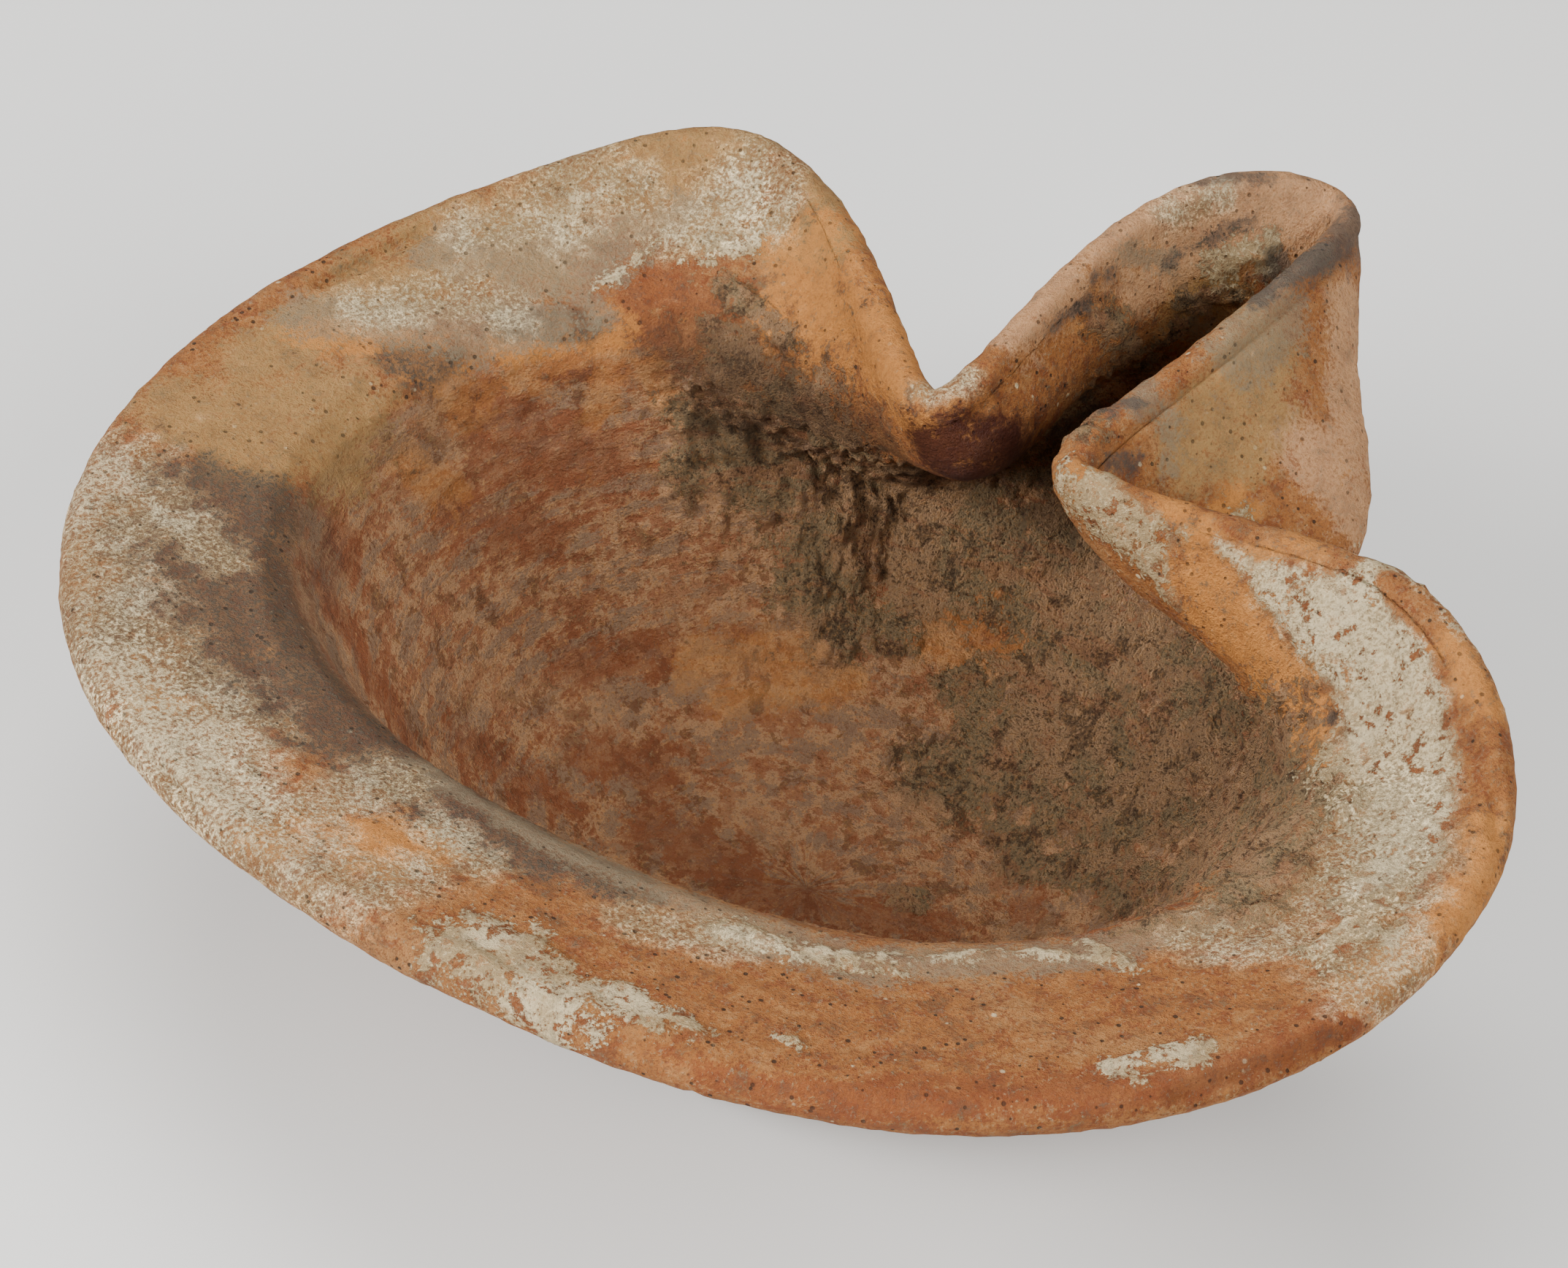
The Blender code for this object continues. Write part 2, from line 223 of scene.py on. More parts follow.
        (23.3, -21.0, 45.0, 22.5, -30.0, 41.0, 2.8), (22.5, -30.0, 41.0, 21.0, -38.0, 40.0, 2.2),
        (25.0, -19.5, 49.5, 22.8, -20.5, 44.0, 1.1),
    ),
    # dark soil and painted shadow in the recess under the left fold
    "darkSoilAndShadow": (
        (15, 37, 38, 21, 28, 36, 3.0), (20, 27, 35, 20, 15, 38, 2.6),
        (18, 33, 32, 23, 25, 27, 2.6), (32, 18, 26, 40, 8, 24, 3.0),
    ),
    "white": (
        (25, -30, 48, 25, -45, 47, 5.0), (22, -47, 46, 12, -55, 44, 4.0),
        (30, 45, 48, 28, 42, 46, 1.5), (-58, 34, 41, -63, 12, 43, 3.0),
    ),
    "soot": (
        (64.1, -0.9, 51.0, 64.1, -0.9, 51.0, 1.4), (70.8, 1.2, 50.4, 66.0, -0.6, 51.0, 2.6),
        (71.0, 1.0, 49.5, 70.4, 0.4, 45.5, 1.0), (58.0, 12.6, 54.0, 66.0, 9.0, 53.2, 0.8),
        (64.1, -0.9, 51.0, 56.3, -1.0, 52.0, 1.9), (63.2, 4.7, 46.4, 51.7, -1.4, 51.8, 1.5),
        (60.0, -1.6, 51.6, 54.3, -0.9, 52.0, 1.1), (63.0, 10.8, 53.7, 63.0, 10.8, 53.7, 0.5),
        (69.4, 7.6, 52.3, 69.4, 7.6, 52.3, 0.5), (41.1, 9.6, 51.7, 40.5, 8.7, 50.0, 0.5),
        (40.5, 8.7, 50.0, 33.4, 7.8, 50.4, 0.6), (41.1, 9.6, 51.7, 44.3, 9.5, 50.8, 0.5),
        (59.2, 8.6, 50.2, 62.3, 7.5, 49.9, 0.5), (51.6, 9.1, 49.0, 59.0, 8.3, 49.6, 0.4),
        (27.0, -6.0, 46.7, 30.5, -6.8, 45.4, 0.8), (46.8, 12.1, 33.5, 30.2, -2.7, 49.1, 0.8),
        (43.6, 13.2, 29.0, 47.2, 11.3, 32.0, 0.6), (31.3, -1.8, 48.8, 33.1, -3.7, 49.1, 0.6),
        (20.8, -39.1, 41.4, 20.8, -39.6, 41.6, 0.5),
    ),
    "smoothed": (
        (17, 8, 44, 22, 6, 41, 2.0), (19, 6, 45, 25, 4, 43, 2.2),
        (22, 5, 42, 30, 6, 37, 2.6),
    ),
    "chip": (
        (19.5, -58.0, 47.5, 15.9, -61.2, 46.6, 1.2), (-8.2, 62.2, 42.2, 4.4, 60.8, 43.7, 1.2),
        (-26.8, -63.5, 43.3, -10.9, -67.4, 43.0, 1.4), (-63.8, 22.2, 41.3, -65.1, 15.1, 41.6, 0.8),
        (-65.8, -0.4, 42.0, -65.6, -2.0, 42.2, 0.8), (29.6, -41.3, 51.4, 29.3, -44.2, 51.1, 0.6),
        (-46.1, -49.6, 43.5, -44.5, -51.4, 43.4, 0.6),
    ),
    "lump": (
        (21.9, -55.1, 48.2, 22.2, -55.7, 48.1, 1.1), (19.5, 7.7, 49.4, 19.7, 7.5, 49.4, 0.7),
        (18.9, 41.2, 41.7, 18.9, 40.8, 41.6, 0.5), (10.8, 42.8, 39.7, 10.9, 42.5, 39.6, 0.7),
        (59.9, 6.7, 47.5, 61.9, 5.5, 46.8, 0.9), (22.0, -17.1, 45.3, 22.0, -17.6, 45.3, 0.6),
        (30.9, 3.9, 10.8, 30.3, 2.9, 10.4, 1.1), (32.3, 2.9, 11.6, 34.3, 0.7, 13.0, 0.6),
        (19.2, 20.2, 9.7, 24.3, 17.2, 10.0, 0.7), (27.8, 20.2, 14.0, 26.4, 17.4, 11.0, 0.6),
        (32.2, 20.0, 17.4, 36.1, 15.2, 19.1, 0.7), (35.4, 9.0, 15.6, 34.9, 7.9, 14.8, 0.5),
        (19.5, -16.7, 7.9, 18.5, -24.3, 11.6, 2.0), (60.9, 8.2, 50.5, 57.3, 8.6, 49.3, 0.4),
    ),
}

# Colours of the finishes.
finish = {
    "orange": (0.39, 0.145, 0.039, 1.0),
    "buff": (0.47, 0.235, 0.088, 1.0),
    "brown": (0.20, 0.070, 0.026, 1.0),
    "filmRed": (0.36, 0.137, 0.061, 1.0),
    "filmPurple": (0.30, 0.190, 0.115, 1.0),
    "filmOrange": (0.52, 0.285, 0.140, 1.0),
    "cream": (0.50, 0.355, 0.180, 1.0),
    "white": (0.87, 0.710, 0.43, 1.0),
    "grey": (0.33, 0.255, 0.155, 1.0),
    "band": (0.30, 0.225, 0.135, 1.0),
    "ochre": (0.45, 0.265, 0.095, 1.0),
    "bright": (0.68, 0.272, 0.060, 1.0),
    "red": (0.25, 0.062, 0.020, 1.0),
    "stain": (0.074, 0.064, 0.048, 1.0),
    # dark brown for the recess under the left fold: dark soil and painted shadow
    "darkSoilAndShadow": (0.060, 0.030, 0.014, 1.0),
    "soil": (0.45, 0.255, 0.130, 1.0),
    "olive": (0.28, 0.192, 0.098, 1.0),
    "dark": (0.050, 0.026, 0.013, 1.0),
    "pink": (0.70, 0.385, 0.190, 1.0),
    "soot": (0.072, 0.066, 0.058, 1.0),
    "smoothed": (0.055, 0.009, 0.003, 1.0),
}


def ramp(low, high, value):
    t = np.clip((value - low) / (high - low), 0.0, 1.0)
    return t * t * (3 - 2 * t)


def bump(degrees, width, sharpness=2.0):
    return np.exp(-((np.abs(degrees) / width) ** sharpness))


def levelAt(radius, height):
    return 0.5 * (radius / lamp["rim"][0] + height / lamp["rim"][1])


bendPlace = (0.5 * (lamp["neck"][0] + lamp["rim"][0]), 0.5 * (lamp["neck"][1] + lamp["rim"][1]))
baseLevel = levelAt(*lamp["base"])
bellyLevel = levelAt(*lamp["belly"])
neckLevel = levelAt(*lamp["neck"])
foldStops = (
    ("belly", bellyLevel, lamp["belly"]),
    ("neck", neckLevel, lamp["neck"]),
    ("bend", 0.5 * (neckLevel + 1), bendPlace),
    ("rim", 1.0, lamp["rim"]),
)


# A smooth run of values through stops of (level, value).
def along(stops, level):
    at = np.array([stop[0] for stop in stops])
    value = np.array([stop[1] for stop in stops], dtype=float)
    last = len(stops) - 1
    slopes = np.zeros_like(value)
    for i in range(1, last + 1):
        after = min(i + 1, last)
        slopes[i] = (value[after] - value[i - 1]) / (at[after] - at[i - 1])
    i = np.clip(np.searchsorted(at, level) - 1, 0, last - 1)
    span = (at[i + 1] - at[i])[:, None]
    t = np.clip((level - at[i]) / (at[i + 1] - at[i]), 0, 1)[:, None]
    return (
        value[i] * (2 * t**3 - 3 * t**2 + 1)
        + slopes[i] * span * (t**3 - 2 * t**2 + t)
        + value[i + 1] * (3 * t**2 - 2 * t**3)
        + slopes[i + 1] * span * (t**3 - t**2)
    )


# Clay as thrown on the wheel, before the rim is pressed in.
def thrown(degrees, radius, height):
    a = np.radians(degrees)
    level = levelAt(radius, height)
    share = ramp(baseLevel, 1.0, level)
    neckRadius = lamp["neck"][0]
    flange = np.maximum(0.0, (radius - neckRadius) / (lamp["rim"][0] - neckRadius))
    flange = flange ** lamp["flangePower"]
    neck = ramp(bellyLevel, neckLevel, level) * (1 - flange)
    oval, lobes, tilt = lamp["rimOval"], lamp["rimThreeLobes"], lamp["rimTilt"]
    saddle, neckOval, offset = lamp["rimSaddle"], lamp["neckOval"], lamp["neckOffset"]
    out = oval[0] * np.cos(2 * a) + oval[1] * np.sin(2 * a)
    out = out + lobes[0] * np.cos(3 * a) + lobes[1] * np.sin(3 * a)
    up = tilt[0] * np.cos(a) + tilt[1] * np.sin(a)
    up = up + saddle[0] * np.cos(2 * a) + saddle[1] * np.sin(2 * a)
    r = radius + share * out + neck * (neckOval[0] * np.cos(2 * a) + neckOval[1] * np.sin(2 * a))
    z = height + flange * up
    for angle, width, inward, lift in lamp["drawnIn"]:
        pull = flange * bump(degrees - angle, width)
        r = r - pull * inward
        z = z + pull * lift
    x = r * np.cos(a) + neck * offset[0]
    y = r * np.sin(a) + neck * offset[1]
    return np.stack([x, y, z], axis=-1)


# The folds' pushes and widths at each level.
folds = []
for fold in (lamp["leftFold"], lamp["rightFold"]):
    pushes = [(baseLevel, (0.0, 0.0, 0.0))]
    widths = [(baseLevel, fold["belly"][1])]
    for name, level, place in foldStops:
        start = thrown(np.array([fold["angle"]]), np.array([place[0]]), np.array([place[1]]))[0]
        pushes.append((level, np.array(fold[name][0]) - start))
        widths.append((level, fold[name][1]))
    folds.append((fold, pushes, widths))


# The same clay in the finished lamp.
def pressed(degrees, radius, height):
    level = levelAt(radius, height)
    place = thrown(degrees, radius, height)
    rimShare = ramp(neckLevel, 1.0, level)
    for fold, pushes, widths in folds:
        away = degrees - fold["angle"]
        side = (away * fold["angle"] > 0).astype(int)
        width = along(widths, level)[np.arange(len(level)), side]
        place = place + bump(away, width, fold["sharpness"])[:, None] * along(pushes, level)
    shares = (ramp(baseLevel, neckLevel, level) - rimShare, rimShare)
    draws = (lamp["nozzleNeckDraw"], lamp["nozzleRimDraw"])
    for (draw, width), share in zip(draws, shares):
        pull = share * bump(degrees, width, lamp["nozzleSharpness"])
        place = place + pull[:, None] * np.array(draw)
    return place


def addObject(name, data):
    made = bpy.data.objects.new(name, data)
    bpy.context.scene.collection.objects.link(made)
    return made


# The middle line of the wall from the middle of the base to the rim, as the solid has it.
def profileLine(step, crowding=0.0):
    curve = bpy.data.curves.new("profile", "CURVE")
    curve.dimensions = "3D"
    curve.resolution_u = 24
    line = curve.splines.new("BEZIER")
    belly, neck, rim, half = lamp["belly"], lamp["neck"], lamp["rim"], lamp["wall"] / 2
    stations = (
        (0.0, half),
        lamp["base"],
        (0.5 * (lamp["base"][0] + belly[0]) + lamp["bowlOut"], lamp["bowlShare"] * belly[1]),
        belly,
        neck,
        (neck[0] + lamp["turnStart"][0], neck[1] + lamp["turnStart"][1]),
        (neck[0] + lamp["turnEnd"][0], neck[1] + lamp["turnEnd"][1]),
        rim,
        (rim[0] + half, rim[1] + half / 3),
    )
    line.bezier_points.add(len(stations) - 1)
    for point, (radius, height) in zip(line.bezier_points, stations):
        point.co = (radius, 0.0, height)
        bend = "VECTOR" if height < lamp["wall"] else "AUTO"
        point.handle_left_type = bend
        point.handle_right_type = bend
    holder = addObject("profile", curve)
    bpy.context.view_layer.update()
    mesh = bpy.data.meshes.new_from_object(holder)
    places = np.array([(v.co.x, v.co.z) for v in mesh.vertices])
    bpy.data.objects.remove(holder)
    bpy.data.meshes.remove(mesh)
    bpy.data.curves.remove(curve)
    places = places[places[:, 0] <= rim[0] + 1e-7]
    density = 1 + crowding * ramp(belly[0], neck[0], places[1:, 0])
    lengths = density * np.linalg.norm(np.diff(places, axis=0), axis=1)
    run = np.concatenate([[0], np.cumsum(lengths)])
    count = max(8, round(run[-1] / step))
    wanted = np.linspace(0, run[-1], count + 1)
    return np.interp(wanted, run, places[:, 0]), np.interp(wanted, run, places[:, 1])


# Angles on the wheel that end up evenly spaced along the finished rim.
def columnAngles(columns):
    fine = np.linspace(-180, 180, 1441)
    rim = pressed(fine, np.full_like(fine, lamp["rim"][0]), np.full_like(fine, lamp["rim"][1]))
    run = np.concatenate([[0], np.cumsum(np.linalg.norm(np.diff(rim, axis=0), axis=1))])
    wanted = run[-1] * np.arange(columns) / columns
    return np.interp(wanted, run, fine)


# Places and normals of the wall's middle over a grid of rows and columns.
def wallMiddle(radius, height, angles):
    d = np.tile(angles, (len(radius), 1))
    r = np.tile(radius[:, None], (1, len(angles)))
    z = np.tile(height[:, None], (1, len(angles)))

    def placed(d, r, z):
        return pressed(d.ravel(), r.ravel(), z.ravel()).reshape(d.shape + (3,))

    middle = placed(d, r, z)
    slopeR = np.gradient(radius)[:, None]
    slopeZ = np.gradient(height)[:, None]
    nudge = 0.05  # of a row's step, and in degrees
    above = placed(d, r + nudge * slopeR, z + nudge * slopeZ)
    up = above - placed(d, r - nudge * slopeR, z - nudge * slopeZ)
    safe = np.maximum(r, 1e-5)
    turn = placed(d + nudge, safe, z) - placed(d - nudge, safe, z)
    normal = np.cross(turn, up)
    normal = normal / np.maximum(np.linalg.norm(normal, axis=-1, keepdims=True), 1e-12)
    thin = ramp(lamp["belly"][0], lamp["neck"][0], r) * bump(d, lamp["nozzleNeckDraw"][1])
    half = 0.5 * lamp["wall"] * (1 - (1 - lamp["nozzleWall"]) * thin) - lamp["inset"]
    return middle, normal, half, up


def buildLamp():
    angles = columnAngles(lamp["columns"])
    rings = []

    radius, height = profileLine(lamp["insideStep"], lamp["insideCrowding"])
    middle, normal, half, up = wallMiddle(radius, height, angles)
    inside = middle - normal * half[..., None]
    fade = [lamp["neck"][0] + value for value in lamp["filmFade"]]
    film = 1 - ramp(*fade, radius)
    rings.extend((inside[i], film[i], 1) for i in range(len(radius)))
    rimDirection = up[-1] / np.linalg.norm(up[-1], axis=-1, keepdims=True)
    for i in range(1, lamp["lipRows"] + 1):
        a = math.pi * i / (lamp["lipRows"] + 1)
        outward = 0.5 * lamp["wall"] - lamp["inset"]
        lip = middle[-1] - normal[-1] * half[-1][:, None] * math.cos(a)
        rings.append((lip + rimDirection * outward * math.sin(a), 0.0, 1))

    radius, height = profileLine(lamp["outsideStep"])
    middle, normal, half, up = wallMiddle(radius, height, angles)
    outside = middle + normal * half[..., None]
    rings.extend((outside[i], 0.0, 2) for i in reversed(range(len(radius))))

    # Fewer columns on the outside and towards the middle of the floor and of the underside.
    places, faces, rows, films = [], [], [], []
    columns = lamp["columns"]
    for ring, film, least in rings:
        reach = np.median(np.linalg.norm(ring[:, :2], axis=1))
        step = next((every for limit, every in lamp["skipped"] if reach < limit), least)
        if reach < lamp["pointed"]:
            rows.append([len(places)])
            places.append(ring.mean(axis=0))
            films.append(film)
            continue
        rows.append(list(range(len(places), len(places) + columns // step)))
        places.extend(ring[::step])
        films.extend([film] * (columns // step))
    for low, high in zip(rows, rows[1:]):
        faces.extend(band(low, high))
    mesh = bpy.data.meshes.new("lamp")
    mesh.from_pydata([tuple(p) for p in places], [], faces)
    mesh.update()
    mesh.attributes.new("film", "FLOAT", "POINT").data.foreach_set("value", films)
    return mesh


# Faces between two rings whose numbers of points are equal or differ by a whole factor.
def band(low, high):
    faces = []
    count = max(len(low), len(high))
    for i in range(count):
        a, b = low[i * len(low) // count], low[(i + 1) % count * len(low) // count]
        c, d = high[i * len(high) // count], high[(i + 1) % count * len(high) // count]
        face = [a]
        for corner in (c, d, b):
            if corner != face[-1] and corner != a:
                face.append(corner)
        if len(face) > 2:
            faces.append(face)
    return faces


mesh = buildLamp()
print("lamp form built", len(mesh.vertices), "points")


# How far each place lies inside a kind of patch, as a share of its half width, which counts
# as 1 to 4 mm. It is 0 at the patch's edge, more inside and less outside.
edgeLimits = (0.001, 0.004)
coverLimit = 1.5


def coverOf(places, strokes):
    best = np.full(len(places), -coverLimit)
    for stroke in strokes:
        start, end, width = np.array(stroke[:3]), np.array(stroke[3:6]), stroke[6]
        start, end, width = start / 1000, end / 1000, width / 1000
        axis = end - start
        t = np.clip((places - start) @ axis / max(axis @ axis, 1e-12), 0, 1)
        gap = np.linalg.norm(places - start - t[:, None] * axis, axis=1)
        best = np.maximum(best, (width - gap) / min(max(width, edgeLimits[0]), edgeLimits[1]))
    return np.minimum(best, coverLimit)


places = np.empty(len(mesh.vertices) * 3)
mesh.vertices.foreach_get("co", places)
places = places.reshape(-1, 3)
for kind, strokes in patches.items():
    attribute = mesh.attributes.new(kind, "FLOAT", "POINT")
    attribute.data.foreach_set("value", coverOf(places, strokes))
print("patches placed")


# Node helpers
def put(tree, kind, inputs=(), **settings):
    node = tree.nodes.new(kind)
    for key, value in settings.items():
        setattr(node, key, value)
    for key, value in dict(inputs).items():
        if isinstance(value, bpy.types.NodeSocket):
            tree.links.new(value, node.inputs[key])
        else:
            node.inputs[key].default_value = value
    return node


def maths(tree, operation, a, b=0.0, c=0.0):
    return put(tree, "ShaderNodeMath", {0: a, 1: b, 2: c}, operation=operation).outputs[0]


def times(tree, a, b):
    return maths(tree, "MULTIPLY", a, b)


def timesPlus(tree, a, b, c):
    return maths(tree, "MULTIPLY_ADD", a, b, c)


def spread(tree, value, low, high, newLow=0.0, newHigh=1.0):
    inputs = {0: value, 1: low, 2: high, 3: newLow, 4: newHigh}
    return put(tree, "ShaderNodeMapRange", inputs, interpolation_type="SMOOTHSTEP").outputs[0]


def noise(tree, vector, scale, detail, roughness, distortion=0.0):
    inputs = {"Vector": vector, "Scale": scale, "Detail": detail}
    inputs.update({"Roughness": roughness, "Distortion": distortion})
    return put(tree, "ShaderNodeTexNoise", inputs).outputs[0]


def cells(tree, vector, scale):
    return put(tree, "ShaderNodeTexVoronoi", {"Vector": vector, "Scale": scale})


def mixColour(tree, share, a, b):
    return put(tree, "ShaderNodeMix", {0: share, 6: a, 7: b}, data_type="RGBA").outputs[2]


def mixValue(tree, share, a, b):
    return put(tree, "ShaderNodeMix", {0: share, 2: a, 3: b}).outputs[0]


def inMillimetres(tree, place):
    inputs = {0: place, "Scale": 1000.0}
    return put(tree, "ShaderNodeVectorMath", inputs, operation="SCALE").outputs[0]


def nodeGroup(name, kind, inputs, outputs):
    tree = bpy.data.node_groups.new(name, kind)
    for label, socket, value in inputs:
        made = tree.interface.new_socket(label, in_out="INPUT", socket_type=socket)
        if value is not None:
            made.default_value = value
    for label, socket in outputs:
        tree.interface.new_socket(label, in_out="OUTPUT", socket_type=socket)
    return tree, put(tree, "NodeGroupInput"), put(tree, "NodeGroupOutput")


# Relief of the surface, by Geometry Nodes. Heights and depths are in millimetres.
relief = {
    "Throwing ring depth": 0.12,
    "Unevenness": 0.26,
    "Pit depth": 0.16,
    "Crust height": 0.34,
    "Soil height": 0.65,
    "Chip depth": 0.75,
    "Lump height": 0.60,
    "Foot share": 0.22,
    "Seed": 4.0,
}

# Noise behind the relief: scale per millimetre, detail, roughness and any distortion.
reliefNoise = {
    "coarse": (0.24, 4.0, 0.6),
    "jag": (0.75, 2.0, 0.5),
    "islands": (0.09, 3.0, 0.6, 0.4),
    "wave": (0.11, 3.0, 0.5),
    "flakes": (0.30, 3.0, 0.55, 0.6),
    "crumbs": (0.60, 2.0, 0.6),
    "scales": (0.28, 4.0, 0.6, 0.4),
    "broad": (0.055, 4.0, 0.6),
    "second": (0.10, 4.0, 0.62, 0.4),
}

# Sizes and shares inside the relief. A pair holds the values where a step starts and is full.
reliefForm = {
    "edgeCoarse": 1.7,
    "edgeJag": 0.9,
    "bareRagged": 1.2,
    "bareStep": (-0.2, 0.4),
    "bareLoss": 1.6,
    "soilIslands": 2.2,
    "soilRagged": 1.5,
    "soilReach": 0.25,
    "chipRagged": 0.5,
    "lumpRagged": 0.3,
    "ringSpacing": 0.0046,  # metres
    "ringWander": 0.0012,
    "jagHeight": 0.42,  # millimetres
    "scaleHeight": 0.16,
    "pitScale": 0.26,
    "pitStep": (0.22, 0.06),
    "crustStep": (-0.05, 0.3),
    "crustBody": (1.4, 0.75),  # share of the jag, share that is even
    "flakeStep": (0.46, 0.53),
    "crumbStep": (0.4, 0.66),
    "soilStep": (-0.05, 0.20),
    "soilBody": (0.6, 0.6, 0.15),  # crumbs, flakes, share that is even
    "scaleStep": (0.50, 0.54),
    "lumpStep": (0.0, 0.9),
    "chipStep": (0.0, 0.7),
    "footStep": (0.0005, 0.003),  # metres above the floor
}


def reliefTree():
    inputs = [("Geometry", "NodeSocketGeometry", None)]
    inputs += [(name, "NodeSocketFloat", value) for name, value in relief.items()]
    inputs += [("Material", "NodeSocketMaterial", None)]
    outputs = [("Geometry", "NodeSocketGeometry")]
    tree, given, result = nodeGroup("clay relief", "GeometryNodeTree", inputs, outputs)
    given, form = given.outputs, reliefForm
    position = put(tree, "GeometryNodeInputPosition").outputs[0]
    shift = put(tree, "ShaderNodeCombineXYZ", {0: given["Seed"], 1: 3.0, 2: 7.0}).outputs[0]
    mm = inMillimetres(tree, position)
    mm = put(tree, "ShaderNodeVectorMath", {0: mm, 1: shift}, operation="ADD").outputs[0]
    apart = put(tree, "ShaderNodeSeparateXYZ", {0: position}).outputs

    def kind(name):
        inputs = {"Name": name}
        return put(tree, "GeometryNodeInputNamedAttribute", inputs, data_type="FLOAT").outputs[0]

    def drawn(name):
        return noise(tree, mm, *reliefNoise[name])

    def centred(value):
        return maths(tree, "SUBTRACT", value, 0.5)

    # jagged edges for the raised and broken patches
    coarse, jag = centred(drawn("coarse")), centred(drawn("jag"))
    fineEdge = times(tree, jag, form["edgeJag"])
    edge = timesPlus(tree, coarse, form["edgeCoarse"], fineEdge)
    crust = maths(tree, "ADD", kind("crust"), edge)
    bared = timesPlus(tree, edge, form["bareRagged"], kind("bare"))
    bared = spread(tree, bared, *form["bareStep"])
    crust = timesPlus(tree, bared, -form["bareLoss"], crust)
    soil = timesPlus(tree, edge, form["soilRagged"], kind("soil"))
    soil = timesPlus(tree, centred(drawn("islands")), form["soilIslands"], soil)
    soil = maths(tree, "ADD", soil, form["soilReach"])
    chip = timesPlus(tree, edge, form["chipRagged"], kind("chip"))
    lump = timesPlus(tree, edge, form["lumpRagged"], kind("lump"))

    # rings left by throwing, counted along the way from the middle outwards
    flat = put(tree, "ShaderNodeCombineXYZ", {0: apart[0], 1: apart[1], 2: 0.0}).outputs[0]
    reach = put(tree, "ShaderNodeVectorMath", {0: flat}, operation="LENGTH").outputs["Value"]
    way = maths(tree, "ADD", reach, apart[2])
    way = timesPlus(tree, coarse, form["ringWander"], way)
    rings = maths(tree, "SINE", times(tree, way, 2 * math.pi / form["ringSpacing"]))
    swing = times(tree, given["Throwing ring depth"], 0.5)
    height = times(tree, rings, swing)

    wave = times(tree, centred(drawn("wave")), 2.0)
    height = timesPlus(tree, wave, given["Unevenness"], height)
    height = timesPlus(tree, jag, form["jagHeight"], height)
    pits = cells(tree, mm, form["pitScale"]).outputs["Distance"]
    pits = times(tree, spread(tree, pits, *form["pitStep"]), given["Pit depth"])
    height = maths(tree, "SUBTRACT", height, pits)

    crustBody = timesPlus(tree, jag, *form["crustBody"])
    crustRise = times(tree, spread(tree, crust, *form["crustStep"]), crustBody)
    height = timesPlus(tree, crustRise, given["Crust height"], height)

    # the soil lies in flakes with broken edges and smaller crumbs on them
    flakes = spread(tree, drawn("flakes"), *form["flakeStep"])
    crumbs = spread(tree, drawn("crumbs"), *form["crumbStep"])
    crumbShare, flakeShare, evenShare = form["soilBody"]
    soilBody = timesPlus(tree, flakes, flakeShare, evenShare)
    soilBody = timesPlus(tree, crumbs, crumbShare, soilBody)
    soilRise = times(tree, spread(tree, soil, *form["soilStep"]), soilBody)
    height = timesPlus(tree, soilRise, given["Soil height"], height)

    # thin scales of the film inside the bowl
    scales = spread(tree, drawn("scales"), *form["scaleStep"])
    scales = times(tree, scales, kind("film"))
    height = timesPlus(tree, scales, form["scaleHeight"], height)

    lumpRise = times(tree, spread(tree, lump, *form["lumpStep"]), given["Lump height"])
    height = maths(tree, "ADD", height, lumpRise)
    chipFall = times(tree, spread(tree, chip, *form["chipStep"]), given["Chip depth"])
    height = maths(tree, "SUBTRACT", height, chipFall)

    # the foot stays level on the floor
    footing = spread(tree, apart[2], *form["footStep"], given["Foot share"], 1.0)
    height = times(tree, height, footing)

    normal = put(tree, "GeometryNodeInputNormal").outputs[0]
    inputs = {0: normal, "Scale": times(tree, height, 0.001)}
    offset = put(tree, "ShaderNodeVectorMath", inputs, operation="SCALE").outputs[0]
    inputs = {"Geometry": given["Geometry"], "Offset": offset}
    moved = put(tree, "GeometryNodeSetPosition", inputs).outputs[0]
    kept = {
        "crustEdge": crust,
        "soilEdge": soil,
        "broad": drawn("broad"),
        "second": drawn("second"),
    }
    settings = {"data_type": "FLOAT", "domain": "POINT"}
    for name, value in kept.items():
        inputs = {"Geometry": moved, "Name": name}
        stored = put(tree, "GeometryNodeStoreNamedAttribute", inputs, **settings)
        tree.links.new(value, stored.inputs["Value"])
        moved = stored.outputs[0]
    moved = put(tree, "GeometryNodeRealizeInstances", {0: moved}).outputs[0]
    inputs = {"Geometry": moved, "Material": given["Material"]}
    dressed = put(tree, "GeometryNodeSetMaterial", inputs)
    tree.links.new(dressed.outputs[0], result.inputs[0])
    return tree


# Shader groups. They share a few fields of noise, each from 0 to 1, and put out only colours,
# heights and masks.
fieldNames = ("Broad", "Second", "Mid", "Other", "Streaks", "Grain", "Fine", "Specks", "Grits")


def lookGroup(name, colours):
    inputs = [(label, "NodeSocketFloat", 0.5) for label in fieldNames]
    inputs += [(key, "NodeSocketColor", finish[key]) for key in colours]
    outputs = [("Colour", "NodeSocketColor"), ("Height", "NodeSocketFloat")]
    tree, given, result = nodeGroup(name, "ShaderNodeTree", inputs, outputs)
    return tree, given.outputs, result.inputs


# Colours laid over each other: a field, the values where the layer starts and is full, its
# strength and its colour.
def layered(tree, given, base, layers):
    colour = given[base]
    for field, start, full, strength, key in layers:
        share = spread(tree, given[field], start, full, 0.0, strength)
        colour = mixColour(tree, share, colour, given[key])
    return colour


def heightSum(tree, given, parts):
    total = 0.0
    for field, amount in parts:
        total = timesPlus(tree, given[field], amount, total)
    return total


